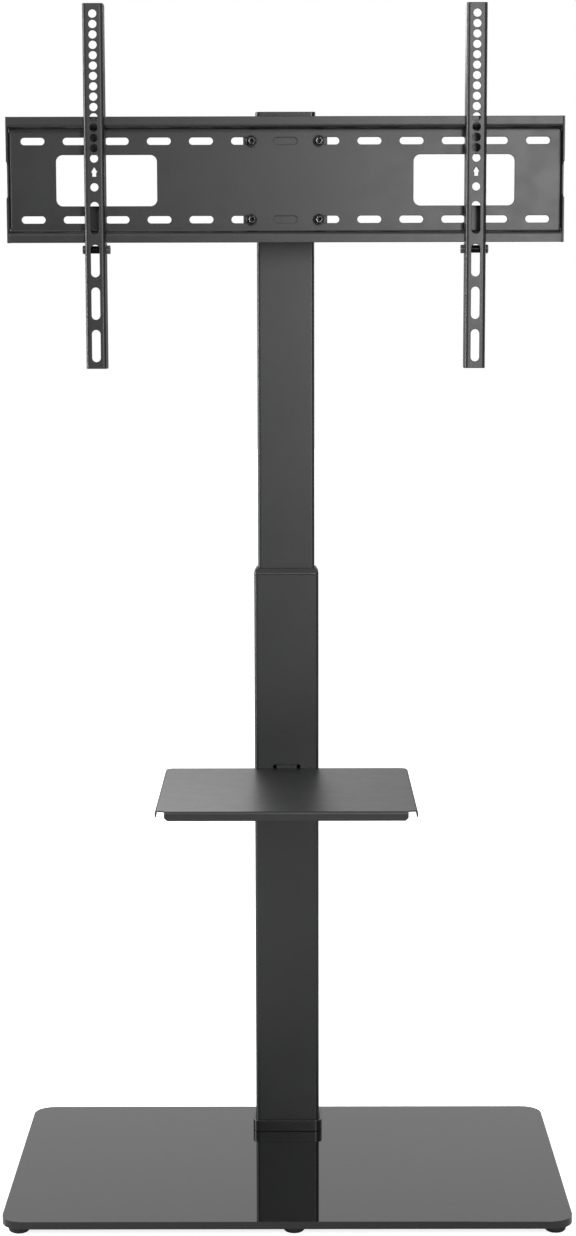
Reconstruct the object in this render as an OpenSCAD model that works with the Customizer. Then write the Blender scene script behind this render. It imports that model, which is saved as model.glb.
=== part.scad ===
// Floor stand for a television: a glass foot, a telescoping steel column with a shelf,
// and a swivelling wall-type mount with two sliding hook arms.
// Millimetres. The front looks to -Y, Z is up, and +X is to the right for someone in front of it.
// The origin is on the floor, under the middle of the glass.

/* [Glass foot] */
// Width of the glass
glass_w = 660; // [560:5:760]
// Depth of the glass
glass_d = 400; // [340:5:480]
// Thickness of the glass
glass_t = 9; // [6:1:12]
// Corner radius of the glass
glass_r = 25; // [10:1:50]
// Diameter of a rubber foot
foot_d = 25; // [18:1:32]
// Height of a rubber foot
foot_h = 9; // [9:0.5:16]
// Radius of the domed rim of a foot
foot_rim_r = 4; // [2:0.5:6]
// Distance from the edge of the glass to the middle of a foot
foot_inset = 20; // [16:1:40]
// Place of the middle feet to the right of the centre line
foot_mid_x = 8; // [-30:1:30]

/* [Steel under the glass] */
// Width of the support plate
support_w = 220; // [160:5:300]
// How far the support plate reaches in front of the middle of the column
support_reach = 40; // [24:1:60]
// Gap between the support plate and the rear feet
support_gap = 3.5; // [1:0.5:8]
// Thickness of the support plate
support_t = 3; // [2:0.5:4]
// Corner radius of the support plate
support_r = 12; // [4:1:25]
// Thickness of the gaskets above and below the glass
gasket_t = 1; // [0.5:0.25:1.5]
// Spacing of the four base bolts across the column
base_bolt_x = 44; // [36:1:50]
// Spacing of the four base bolts front to back
base_bolt_y = 16; // [15:1:18]
// Thickness of the tapped block in the foot of the column
foot_block_t = 12; // [10:1:20]

/* [Lower column] */
// Width of the lower tube
lower_w = 80; // [76:1:90]
// Depth of the lower tube
lower_d = 40; // [38:1:46]
// Wall of both tubes
tube_wall = 2; // [1.5:0.25:2.5]
// Outer corner radius of the lower tube
lower_r = 5; // [3.5:0.5:7]
// Length of the lower tube
lower_len = 712; // [620:5:820]
// Distance from the rear edge of the glass to the middle of the column
column_inset = 73; // [60:1:110]
// Height of the plastic collar round the foot of the column
collar_h = 14.5; // [8:0.5:25]
// Wall of that collar
collar_wall = 3.6; // [2:0.2:6]

/* [Upper column] */
// Width of the upper tube
upper_w = 70; // [68:1:71]
// Depth of the upper tube
upper_d = 30; // [28:0.5:31]
// Outer corner radius of the upper tube
upper_r = 4; // [3:0.5:5]
// How far the upper tube stands out of the lower one at its highest setting
raised = 559; // [500:5:640]
// How much of the upper tube stays in the lower one at that setting
overlap = 170; // [150:5:220]
// Step between two height settings
height_step = 50; // [40:5:60]
// Number of height settings
height_settings = 6; // [3:1:6]
// Depth of the guide bush in the top of the lower tube
bush_depth = 30; // [20:1:40]
// Height of the bush above the lower tube
bush_rise = 8; // [4:0.5:12]
// Wall of the bush at its top edge
bush_wall = 1.4; // [1:0.1:2]
// Height of the glide on the lower end of the upper tube
glide_h = 14; // [10:1:25]
// Thickness of the brim of the top cap
cap_t = 3.5; // [2:0.5:6]
// How far the brim of the top cap stands over the tube
cap_brim = 1.4; // [1:0.1:3]

/* [Shelf] */
// Width of the shelf
shelf_w = 302; // [240:1:360]
// Depth of the shelf
shelf_d = 260; // [200:5:280]
// Sheet thickness of the shelf
shelf_t = 1.5; // [1:0.25:2]
// Height of the top of the shelf above the glass
shelf_up = 470; // [300:1:560]
// Depth of the turned-down sides of the shelf
shelf_side_h = 8; // [6:0.5:16]
// Depth of the turned-down front lip of the shelf
shelf_lip_h = 11; // [8:0.5:20]
// Distance from the side of the shelf to the end of its front lip
shelf_lip_in = 11; // [8:0.5:20]
// Cut across the front corners and the ends of the lip
shelf_corner = 3.5; // [2:0.5:6]
// Corner radius at the back of the shelf
shelf_back_r = 10; // [5:1:20]
// Width of the hook slot in the column, over its round ends
shelf_slot_w = 34; // [24:1:40]
// Height of the hook slot in the column
shelf_slot_h = 6.2; // [5:0.2:8]
// Width of the slot left open at each side of the hook
shelf_slot_open = 4.2; // [1:0.2:6]
// Width of the shelf bracket
bracket_w = 64; // [50:1:76]
// Height of the back leg of the shelf bracket
bracket_h = 48; // [35:1:70]
// Reach of the shelf bracket under the shelf
bracket_reach = 130; // [90:5:180]

/* [Swivel head] */
// Height of the middle of the mount plate below the top of the column
mount_drop = 81; // [76:1:140]
// Distance from the front of the upper tube to the front of the mount plate
standoff = 58; // [50:1:75]
// Thickness of the steel of the fixed bracket
head_t = 4; // [3:0.5:5]
// Width of the web of the fixed bracket
head_w = 60; // [54:1:66]
// Height of the web of the fixed bracket
head_h = 142; // [138:1:146]
// Thickness of the steel of the swinging bracket
swing_t = 3; // [2.5:0.5:4]
// Width of the swinging bracket
swing_w = 100; // [94:1:106]
// Height of the swinging bracket
swing_h = 120; // [110:1:122]
// Height of the outer face of a swinging ear above the middle of the mount
swing_ear_z = 50; // [44:1:51]
// Radius of the nose of an ear round the swivel bolt
ear_r = 16; // [13:1:18]
// Thickness of the nylon swivel washers
swivel_washer_t = 2; // [1.5:0.25:3]

/* [Mount plate] */
// Width of the mount plate
plate_w = 660; // [640:5:700]
// Height of the mount plate over both lips
plate_h = 147; // [145:1:155]
// Sheet thickness of the mount plate and the arms
sheet_t = 2; // [1.5:0.25:2.25]
// Inner radius of the bends
bend_r = 2.2; // [1.5:0.1:3]
// Depth of the rails, from the panel to the front of the lip
rail_depth = 17; // [15:0.5:20]
// Height of a lip, over the thickness of its rail
lip_h = 13; // [12:0.5:14]
// Number of slots in a row
slot_count = 13; // [9:2:13]
// Pitch of the slots
slot_pitch = 50; // [48:0.5:50]
// Length of a slot
slot_len = 28.5; // [24:0.5:32]
// Height of a slot
slot_h = 8.6; // [8.5:0.1:10]
// Distance between the two rows of slots
slot_rows = 92; // [90:0.5:94]
// Width of a window
window_w = 120; // [100:5:140]
// Height of a window
window_h = 60; // [50:1:66]
// Corner radius of a window
window_r = 8; // [4:0.5:12]
// Distance between the middles of the two windows
window_apart = 425; // [400:5:440]
// Length of the notch in the side flanges
notch_h = 42; // [30:1:60]

/* [Arms] */
// Length of an arm
arm_len = 425; // [424:1:430]
// Height of the top of an arm above the middle of the mount plate
arm_up = 203; // [200:1:204]
// Width of the web of an arm
arm_w = 24.5; // [20:0.5:26]
// How far the web of an arm stands in front of the lips
arm_proud = 10; // [8:0.5:14]
// Distance of an arm from the middle at rest
arm_x = 225; // [150:1:280]
// Diameter of the round holes
arm_hole_d = 9.6; // [8.5:0.1:10]
// Pitch of the round holes
arm_hole_pitch = 11.9; // [11.5:0.1:12]
// Number of round holes in the row
arm_hole_count = 15; // [10:1:15]
// Distance from the top of an arm to its first hole
arm_hole_top = 12; // [10:0.5:12]
// Distance from the first hole down to the lone hole under the arrow
arm_hole_span = 200; // [198:1:202]
// Length of an arm slot
arm_slot_len = 38; // [30:0.5:39]
// Width of an arm slot
arm_slot_w = 10.3; // [8.5:0.1:11]
// Pitch of the arm slots
arm_slot_pitch = 50; // [48:0.5:50.5]
// Number of arm slots
arm_slot_count = 4; // [3:1:4]
// Outer diameter of the sleeve on a lock bolt
lock_sleeve_d = 9.2; // [8:0.1:9.6]
// Gap between the lower lip and the lock sleeve
lock_gap = 3.5; // [2.5:0.5:4]

/* [Hidden] */

// Smoothness of round surfaces, and the overrun of every cut
$fn = 64;
cut = 1;

// Clearances
slip = 0.2;         // plastic guide or cap to its tube
part_gap = 0.3;     // piece that hangs or slides to the piece that carries it
pin_play = 0.05;    // bolt to a bore that turns or fits on it, on the radius
bolt_play = 0.6;    // bolt to its through hole, on the radius
face_play = 0.1;    // swivel washer to the ear that turns on it
corner_gap = 0.3;   // end of a rail to the side flange of the mount plate

// Bolts: M6, M8 and M10 shanks, heads, nuts and sockets
m6_d = 6;
m6_head_d = 10.5;
m6_head_h = 3.3;
m6_nut_w = 10;
m6_nut_h = 5;
m6_socket_w = 4;
m8_d = 8;
m8_head_d = 13;
m8_head_h = 8;
m8_low_head_d = 14;
m8_low_head_h = 4.4;
m8_nut_w = 13;
m8_nut_h = 6.5;
m8_socket_w = 6;
m10_d = 10;
m10_head_w = 16;
m10_head_h = 6.4;
m10_nut_h = 8.4;
washer_t = 2;
m10_washer_d = 20;
bolt_chamfer = 0.8;
bolt_tail = 3;      // bolt standing past its nut
washer_in = 1;      // rim of a nylon washer inside the nose of its ear
socket_share = 0.55;    // depth of a socket as a share of its head

// Heights above the floor
glass_bottom = foot_h;
glass_top = glass_bottom + glass_t;
lower_bottom = glass_top + gasket_t;
lower_top = lower_bottom + lower_len;
upper_top = lower_top + raised;
upper_bottom = lower_top - overlap;
shelf_top = glass_top + shelf_up;
mount_z = upper_top - mount_drop;

// Depth positions, from the middle of the glass, back is positive
column_y = glass_d / 2 - column_inset;
support_front = column_y - support_reach;
support_back = glass_d / 2 - foot_inset - foot_d / 2 - support_gap;
lower_front = column_y - lower_d / 2;
lower_back = column_y + lower_d / 2;
upper_front = column_y - upper_d / 2;
upper_back = column_y + upper_d / 2;
panel_front = upper_front - standoff;
panel_back = panel_front + sheet_t;
lip_front = panel_front - rail_depth;
arm_front = lip_front - arm_proud;
head_front = upper_front - head_t;
swing_back = panel_back + swing_t;
swivel_y = (swing_back + head_front) / 2;

// Bends, rails and arms
bend_out = bend_r + sheet_t;
shelf_bend = 2 * shelf_t;
rail_in = plate_h / 2 - lip_h;
flange_end = rail_in - bend_out;
plate_bolt_apart = 2 * slot_pitch - (slot_len - slot_h);
arm_top = mount_z + arm_up;
arm_bottom = arm_top - arm_len;
arm_back = panel_front - part_gap;
lock_z = mount_z - plate_h / 2 - lock_gap - lock_sleeve_d / 2;
lock_y = lip_front + sheet_t / 2;

// Swivel head stack, measured from the middle of the mount
washer_low = swing_ear_z + face_play;
ear_low = washer_low + swivel_washer_t;
ear_high = ear_low + head_t;

// Small forms of the hidden pieces
bush_in = lower_w / 2 - tube_wall - slip;
glide_wall = 2;
glide_lap = 8;
cap_lap = 12;
cap_wall = 1;
cap_skirt_share = 0.55;     // skirt of the cap as a share of the tube above the fixed bracket
bush_foot_share = 0.28;     // upright part of the bush's rim as a share of its height
strip_w = 46;
strip_h = 110;
strip_t = 4;
head_screw_x = 30;
head_screw_z = 84;
head_screw_tail = 1;
height_bolt_drop = 20;
height_bolt_head_w = 13;
height_bolt_head_h = 5.3;
height_hole_d = 9;
hook_rise = 7;
bracket_t = 2;
bracket_flange = 8;
bracket_nose_share = 0.3;
notch_r = 5;
notch_left = 3;
hook_finger = 7;
hook_gap = 3;
base_bolt_engage = 10;
arrow_w = 7.6;
arrow_h = 11;
arrow_stem_w_share = 0.6;
arrow_stem_h_share = 0.45;
arrow_rise = 17.8;
slot_drop = 36;

powder = "#3a3b3d";
bright = "#505255";
zinc = "#161617";
plastic = "#222324";
rubber = "#151515";
black_glass = "#0c0d0f";
nylon = "#d8d8d2";

// Flat outlines with true arcs

module rounded_rect(w, d, r) {
    square([w - 2 * r, d], center = true);
    square([w, d - 2 * r], center = true);
    for (x = [-1, 1], y = [-1, 1])
        translate([x * (w / 2 - r), y * (d / 2 - r)])
            circle(r = r);
}

module slot_outline(len, h) {
    square([len - h, h], center = true);
    for (x = [-1, 1])
        translate([x * (len - h) / 2, 0])
            circle(d = h);
}

// A quarter of a bend in sheet, in the quadrant given by two signs
module bend_outline(inner, t, side_x, side_y) {
    reach = inner + t;
    intersection() {
        difference() {
            circle(r = reach);
            circle(r = inner);
        }
        scale([side_x, side_y])
            square(reach);
    }
}

module rect_ring(w, d, r, wall) {
    difference() {
        rounded_rect(w, d, r);
        rounded_rect(w - 2 * wall, d - 2 * wall, r - wall);
    }
}

// Solids placed along an axis

module tube_z(w, d, r, wall, z0, z1) {
    translate([0, column_y, z0])
        linear_extrude(z1 - z0)
            rect_ring(w, d, r, wall);
}

module rod_z(d, z0, z1) {
    translate([0, 0, z0])
        cylinder(h = z1 - z0, d = d);
}

module rod_y(d, y0, y1) {
    translate([0, y0, 0])
        rotate([-90, 0, 0])
            cylinder(h = y1 - y0, d = d);
}

module rod_x(d, x0, x1) {
    translate([x0, 0, 0])
        rotate([0, 90, 0])
            cylinder(h = x1 - x0, d = d);
}

// A six-sided prism of the given width over its flats, standing on z = 0
module hex(w, h) {
    cylinder(h = h, d = w / cos(30), $fn = 6);
}

module nut(w, h, bore) {
    difference() {
        intersection() {
            hex(w, h);
            nut_crown(w, h);
        }
        translate([0, 0, -cut])
            cylinder(h = h + 2 * cut, d = bore);
    }
}

// The chamfer that turns the corners of a nut or a hex head
module nut_crown(w, h) {
    tip = w / cos(30) / 2 - w / 2;
    cylinder(h = h - tip / 2, r = w / cos(30) / 2 + tip);
    translate([0, 0, h - tip / 2])
        cylinder(h = tip / 2, r1 = w / cos(30) / 2, r2 = w / 2);
}

// A socket-head bolt: its shank runs up from z = 0 and its head stands below
module socket_bolt(d, len, head_d, head_h, socket_w) {
    cylinder(h = len - bolt_chamfer, d = d);
    translate([0, 0, len - bolt_chamfer])
        cylinder(h = bolt_chamfer, d1 = d, d2 = d - 2 * bolt_chamfer);
    difference() {
        union() {
            translate([0, 0, -head_h + bolt_chamfer])
                cylinder(h = head_h - bolt_chamfer, d = head_d);
            translate([0, 0, -head_h])
                cylinder(h = bolt_chamfer, d1 = head_d - 2 * bolt_chamfer, d2 = head_d);
        }
        translate([0, 0, -head_h - cut])
            hex(socket_w, head_h * socket_share + cut);
    }
}

// A hex-head bolt, laid out the same way
module hex_bolt(d, len, head_w, head_h) {
    cylinder(h = len - bolt_chamfer, d = d);
    translate([0, 0, len - bolt_chamfer])
        cylinder(h = bolt_chamfer, d1 = d, d2 = d - 2 * bolt_chamfer);
    mirror([0, 0, 1])
        intersection() {
            hex(head_w, head_h);
            nut_crown(head_w, head_h);
        }
}

module at_four(x, y) {
    for (i = [-1, 1], j = [-1, 1])
        translate([i * x / 2, j * y / 2, 0])
            children();
}

module at_base_bolts() {
    translate([0, column_y, 0])
        at_four(base_bolt_x, base_bolt_y)
            children();
}

// Places on the mount plate, in X and Z
module at_mount(x, z) {
    for (i = [-1, 1], j = [-1, 1])
        translate([i * x / 2, 0, mount_z + j * z / 2])
            children();
}

// Glass foot

module glass_base() {
    color(black_glass)
        difference() {
            translate([0, 0, glass_bottom])
                linear_extrude(glass_t)
                    rounded_rect(glass_w, glass_d, glass_r);
            at_base_bolts()
                rod_z(m8_d + 2 * bolt_play, glass_bottom - cut, glass_top + cut);
        }
}

module foot() {
    rotate_extrude()
        union() {
            square([foot_d / 2 - foot_rim_r, foot_h]);
            translate([0, foot_rim_r])
                square([foot_d / 2, foot_h - foot_rim_r]);
            translate([foot_d / 2 - foot_rim_r, foot_rim_r])
                intersection() {
                    circle(r = foot_rim_r);
                    translate([0, -foot_rim_r])
                        square(foot_rim_r);
                }
        }
}

module base_feet() {
    color(rubber)
        for (x = [-glass_w / 2 + foot_inset, foot_mid_x, glass_w / 2 - foot_inset], y = [-1, 1])
            translate([x, y * (glass_d / 2 - foot_inset), 0])
                foot();
}

module support_outline() {
    translate([0, (support_front + support_back) / 2])
        rounded_rect(support_w, support_back - support_front, support_r);
}

module base_gasket() {
    color(rubber)
        difference() {
            translate([0, 0, glass_bottom - gasket_t])
                linear_extrude(gasket_t)
                    support_outline();
            at_base_bolts()
                rod_z(m8_d + 2 * bolt_play, glass_bottom - gasket_t - cut, glass_bottom + cut);
        }
}

module base_support_plate() {
    top = glass_bottom - gasket_t;
    color(powder)
        difference() {
            translate([0, 0, top - support_t])
                linear_extrude(support_t)
                    support_outline();
            at_base_bolts()
                rod_z(m8_d + 2 * bolt_play, top - support_t - cut, top + cut);
        }
}

module base_bolts() {
    seat = glass_bottom - gasket_t - support_t;
    color(zinc)
        at_base_bolts()
            translate([0, 0, seat])
                socket_bolt(m8_d, lower_bottom + base_bolt_engage - seat,
                            m8_low_head_d, m8_low_head_h, m8_socket_w);
}

module column_gasket() {
    color(rubber)
        difference() {
            translate([0, column_y, glass_top])
                linear_extrude(gasket_t)
                    rounded_rect(lower_w, lower_d, lower_r);
            at_base_bolts()
                rod_z(m8_d + 2 * bolt_play, glass_top - cut, lower_bottom + cut);
        }
}

// Column

module foot_block() {
    color(zinc)
        difference() {
            translate([0, column_y, lower_bottom])
                linear_extrude(foot_block_t)
                    rounded_rect(lower_w - 2 * tube_wall, lower_d - 2 * tube_wall, lower_r - tube_wall);
            at_base_bolts()
                rod_z(m8_d + 2 * pin_play, lower_bottom - cut, lower_bottom + foot_block_t + cut);
        }
}

module base_collar() {
    color(plastic)
        tube_z(lower_w + 2 * (collar_wall + slip), lower_d + 2 * (collar_wall + slip),
               lower_r + collar_wall + slip, collar_wall, glass_top, glass_top + collar_h);
}

function height_bolt_z(i) = lower_top - bush_depth - height_bolt_drop - i * height_step;

module lower_column() {
    color(powder)
        difference() {
            tube_z(lower_w, lower_d, lower_r, tube_wall, lower_bottom, lower_top);
            for (i = [0, 1])
                translate([0, 0, height_bolt_z(i)])
                    rod_y(m8_d + 2 * pin_play, lower_back - tube_wall - cut, lower_back + cut);
            shelf_slot_cut();
        }
}

// The slot for the shelf's hook, just under and above the back edge of the shelf
module shelf_slot_cut() {
    translate([0, lower_front - cut, shelf_top - shelf_t - part_gap + shelf_slot_h / 2])
        rotate([-90, 0, 0])
            linear_extrude(tube_wall + 2 * cut)
                slot_outline(shelf_slot_w, shelf_slot_h);
}

// Moulded guide bush: a sleeve in the lower tube under a rim that tapers up to the upper tube
module column_bush() {
    inner_w = upper_w + 2 * slip;
    inner_d = upper_d + 2 * slip;
    color(plastic)
        translate([0, column_y, 0])
            difference() {
                union() {
                    translate([0, 0, lower_top - bush_depth])
                        linear_extrude(bush_depth)
                            rounded_rect(2 * bush_in, lower_d - 2 * (tube_wall + slip),
                                         lower_r - tube_wall);
                    intersection() {
                        translate([0, 0, lower_top])
                            linear_extrude(bush_rise)
                                rounded_rect(lower_w, lower_d, lower_r);
                        rotate([90, 0, 0])
                            linear_extrude(lower_d + 2 * cut, center = true)
                                rim_profile(lower_w, inner_w + 2 * bush_wall);
                        rotate([90, 0, 90])
                            linear_extrude(lower_w + 2 * cut, center = true)
                                rim_profile(lower_d, inner_d + 2 * bush_wall);
                    }
                }
                translate([0, 0, lower_top - bush_depth - cut])
                    linear_extrude(bush_depth + bush_rise + 2 * cut)
                        rounded_rect(inner_w, inner_d, upper_r + slip);
            }
}

// Upright outline of the bush's rim: an upright foot, then a slope to its top edge
module rim_profile(low_w, top_w) {
    foot = bush_rise * bush_foot_share;
    translate([0, lower_top])
        polygon([[-low_w / 2 - cut, -cut], [low_w / 2 + cut, -cut], [low_w / 2 + cut, foot],
                 [low_w / 2, foot], [top_w / 2, bush_rise], [-top_w / 2, bush_rise],
                 [-low_w / 2, foot], [-low_w / 2 - cut, foot]]);
}

module height_bolts() {
    seat = lower_back + m8_nut_h;
    color(zinc)
        for (i = [0, 1])
            translate([0, seat, height_bolt_z(i)])
                rotate([90, 0, 0])
                    hex_bolt(m8_d, seat - upper_back - part_gap, height_bolt_head_w, height_bolt_head_h);
}

module height_nuts() {
    color(zinc)
        for (i = [0, 1])
            translate([0, lower_back, height_bolt_z(i)])
                rotate([-90, 0, 0])
                    nut(m8_nut_w, m8_nut_h, m8_d + 2 * pin_play);
}

module upper_column() {
    color(powder)
        difference() {
            tube_z(upper_w, upper_d, upper_r, tube_wall, upper_bottom, upper_top);
            for (i = [-1 : height_settings - 1])
                translate([0, 0, height_bolt_z(0) + i * height_step])
                    rod_y(height_hole_d, upper_back - tube_wall - cut, upper_back + cut);
            translate([0, 0, mount_z])
                at_head_screws()
                    rod_y(m6_d + 2 * bolt_play, upper_front - cut, upper_front + tube_wall + cut);
        }
}

// Moulded glide: a brim that fills the lower tube, and a plug in the upper tube.
// The groove down its front passes the hook of the shelf.
module column_glide() {
    brim_w = 2 * bush_in;
    brim_d = lower_d - 2 * (tube_wall + slip);
    plug_w = upper_w - 2 * (tube_wall + slip);
    plug_d = upper_d - 2 * (tube_wall + slip);
    plug_r = upper_r - tube_wall;
    color(plastic)
        translate([0, column_y, 0])
            difference() {
                union() {
                    translate([0, 0, upper_bottom - glide_h])
                        linear_extrude(glide_h)
                            rounded_rect(brim_w, brim_d, lower_r - tube_wall);
                    translate([0, 0, upper_bottom])
                        linear_extrude(glide_lap)
                            rounded_rect(plug_w, plug_d, plug_r);
                }
                translate([0, 0, upper_bottom - glide_h - cut])
                    linear_extrude(glide_h + glide_lap + 2 * cut)
                        rounded_rect(plug_w - 2 * glide_wall, plug_d - 2 * glide_wall, plug_r / 2);
                translate([0, -lower_d / 2, upper_bottom - glide_h - cut])
                    linear_extrude(glide_h + cut)
                        square([shelf_slot_w, lower_d - upper_d], center = true);
            }
}

// Moulded cap: a top with a skirt round the upper tube and a hollow plug in it
module column_cap() {
    plug_w = upper_w - 2 * (tube_wall + slip);
    plug_d = upper_d - 2 * (tube_wall + slip);
    skirt = (mount_drop - head_h / 2) * cap_skirt_share;
    color(plastic)
        translate([0, column_y, 0]) {
            translate([0, 0, upper_top])
                linear_extrude(cap_t)
                    rounded_rect(upper_w + 2 * cap_brim, upper_d + 2 * cap_brim, upper_r + cap_brim);
            translate([0, 0, upper_top - skirt])
                linear_extrude(skirt)
                    rect_ring(upper_w + 2 * cap_brim, upper_d + 2 * cap_brim, upper_r + cap_brim,
                              cap_brim - slip);
            translate([0, 0, upper_top - cap_lap])
                linear_extrude(cap_lap)
                    rect_ring(plug_w, plug_d, upper_r - tube_wall, cap_wall);
        }
}

// Shelf

// The sheet's section across the shelf: top, two bends and two turned-down sides
module shelf_section() {
    r = shelf_bend;
    translate([-shelf_w / 2 + r, -shelf_t])
        square([shelf_w - 2 * r, shelf_t]);
    for (x = [-1, 1])
        translate([x * (shelf_w / 2 - r), -r])
            bend_outline(r - shelf_t, shelf_t, x, 1);
    for (x = [-1, 1])
        translate([x * (shelf_w / 2 - shelf_t / 2), -(shelf_side_h + r) / 2])
            square([shelf_t, shelf_side_h - r], center = true);
}

module shelf_tray() {
    r = shelf_bend;
    front = lower_front - shelf_d;
    lip_w = shelf_w - 2 * shelf_lip_in;
    color(bright) {
        difference() {
            translate([0, lower_front, shelf_top])
                rotate([90, 0, 0])
                    linear_extrude(shelf_d - r)
                        shelf_section();
            shelf_back_cut();
            shelf_front_cut();
        }
        // front bend and lip
        translate([0, front + r, shelf_top - r])
            rotate([90, 0, 90])
                linear_extrude(lip_w, center = true)
                    bend_outline(r - shelf_t, shelf_t, -1, 1);
        translate([0, front + shelf_t, shelf_top])
            rotate([90, 0, 0])
                linear_extrude(shelf_t)
                    polygon([[-lip_w / 2, -r], [lip_w / 2, -r],
                             [lip_w / 2, -shelf_lip_h + shelf_corner],
                             [lip_w / 2 - shelf_corner, -shelf_lip_h],
                             [-lip_w / 2 + shelf_corner, -shelf_lip_h],
                             [-lip_w / 2, -shelf_lip_h + shelf_corner]]);
        shelf_hook();
    }
}

// Rounds the back corners and stops the turned-down sides short of them
module shelf_back_cut() {
    for (x = [-1, 1])
        translate([x * (shelf_w / 2 - shelf_back_r), lower_front - shelf_back_r,
                   shelf_top - shelf_side_h - cut])
            linear_extrude(shelf_side_h + 2 * cut)
                difference() {
                    scale([x, 1])
                        square(shelf_back_r + cut);
                    circle(r = shelf_back_r);
                }
}

// Cuts the front corners of the top and stops the sides short of the lip
module shelf_front_cut() {
    front = lower_front - shelf_d + shelf_bend;
    for (x = [-1, 1])
        scale([x, 1, 1])
            translate([0, 0, shelf_top - shelf_side_h - cut])
                linear_extrude(shelf_side_h + 2 * cut)
                    polygon([[shelf_w / 2 - shelf_lip_in, front - cut],
                             [shelf_w / 2 - shelf_lip_in, front],
                             [shelf_w / 2 + cut, front + shelf_corner],
                             [shelf_w / 2 + cut, front - cut]]);
}

// The hook: a tongue of the top that passes the slot and turns up behind the wall
module shelf_hook() {
    w = shelf_slot_w - 2 * shelf_slot_open;
    low = shelf_top - shelf_t;
    inside = lower_front + tube_wall + part_gap / 2;
    rotate([90, 0, 90])
        linear_extrude(w, center = true) {
            translate([lower_front - shelf_t, low])
                square([inside + 2 * shelf_t - lower_front, shelf_t]);
            translate([inside, low])
                square([shelf_t, shelf_t + hook_rise]);
        }
}

// Welded bracket under the shelf: a back leg on the column and two tapered cheeks
module shelf_bracket() {
    top = shelf_top - shelf_t;
    back = lower_front;
    reach = back - bracket_reach;
    nose = bracket_h * bracket_nose_share;
    color(powder) {
        // back leg
        translate([-bracket_w / 2, back - bracket_t, top - bracket_h])
            cube([bracket_w, bracket_t, bracket_h]);
        // cheeks
        for (x = [-1, 1])
            translate([x * (bracket_w - bracket_t) / 2, 0, 0])
                rotate([90, 0, 90])
                    linear_extrude(bracket_t, center = true)
                        polygon([[back, top], [reach, top], [reach, top - nose], [back, top - bracket_h]]);
        // flanges that are welded to the shelf
        for (x = [-1, 1])
            translate([x * (bracket_w + bracket_flange) / 2 - bracket_flange / 2,
                       reach, top - bracket_t])
                cube([bracket_flange, bracket_reach, bracket_t]);
        // front stiffener
        translate([-bracket_w / 2, reach, top - nose])
            cube([bracket_w, bracket_t, nose]);
    }
}

// Swivel head

module at_head_screws() {
    for (i = [-1, 1], j = [-1, 1])
        translate([i * head_screw_x / 2, 0, j * head_screw_z / 2])
            children();
}

module head_nut_strip() {
    y0 = upper_front + tube_wall;
    color(zinc)
        difference() {
            translate([-strip_w / 2, y0, mount_z - strip_h / 2])
                cube([strip_w, strip_t, strip_h]);
            translate([0, 0, mount_z])
                at_head_screws()
                    rod_y(m6_d + 2 * pin_play, y0 - cut, y0 + strip_t + cut);
        }
}

// An ear seen from above: a round nose on the bolt and a root on the web
module ear_outline(root_w, root_y) {
    difference() {
        union() {
            circle(r = ear_r);
            polygon([[-ear_r, 0], [ear_r, 0], [root_w / 2, root_y], [-root_w / 2, root_y]]);
        }
        circle(r = m10_d / 2 + pin_play);
    }
}

module swivel_head() {
    color(powder) {
        difference() {
            translate([-head_w / 2, head_front, mount_z - head_h / 2])
                cube([head_w, head_t, head_h]);
            translate([0, 0, mount_z])
                at_head_screws()
                    rod_y(m6_d + 2 * bolt_play, head_front - cut, upper_front + cut);
        }
        for (z = [mount_z + ear_low, mount_z - ear_high])
            translate([0, swivel_y, z])
                linear_extrude(head_t)
                    ear_outline(head_w, head_front - swivel_y);
    }
}

module head_screws() {
    color(zinc)
        translate([0, head_front, mount_z])
            at_head_screws()
                rotate([-90, 0, 0])
                    socket_bolt(m6_d, head_t + tube_wall + strip_t + head_screw_tail,
                                m6_head_d, m6_head_h, m6_socket_w);
}

module swivel_bracket() {
    color(powder)
        difference() {
            union() {
                translate([-swing_w / 2, panel_back, mount_z - swing_h / 2])
                    cube([swing_w, swing_t, swing_h]);
                for (z = [mount_z + swing_ear_z - swing_t, mount_z - swing_ear_z])
                    translate([0, swivel_y, z])
                        linear_extrude(swing_t)
                            ear_outline(head_w, swing_back - swivel_y);
            }
            at_mount(plate_bolt_apart, slot_rows)
                rod_y(m8_d + 2 * bolt_play, panel_back - cut, swing_back + cut);
        }
}

module swivel_bolt() {
    seat = ear_high + washer_t;
    len = 2 * seat + m10_nut_h + bolt_tail;
    color(zinc)
        translate([0, swivel_y, mount_z + seat])
            rotate([180, 0, 0])
                hex_bolt(m10_d, len, m10_head_w, m10_head_h);
}

module swivel_washers() {
    color(nylon)
        for (z = [mount_z + washer_low, mount_z - ear_low])
            translate([0, swivel_y, z])
                linear_extrude(swivel_washer_t)
                    difference() {
                        circle(r = ear_r - washer_in);
                        circle(r = m10_d / 2 + pin_play);
                    }
}

module swivel_bolt_washers() {
    color(zinc)
        for (z = [mount_z + ear_high, mount_z - ear_high - washer_t])
            translate([0, swivel_y, z])
                linear_extrude(washer_t)
                    difference() {
                        circle(d = m10_washer_d);
                        circle(r = m10_d / 2 + pin_play);
                    }
}

module swivel_nut() {
    color(zinc)
        translate([0, swivel_y, mount_z - ear_high - washer_t])
            mirror([0, 0, 1])
                nut(m10_head_w, m10_nut_h, m10_d + 2 * pin_play);
}

// Mount plate

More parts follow.
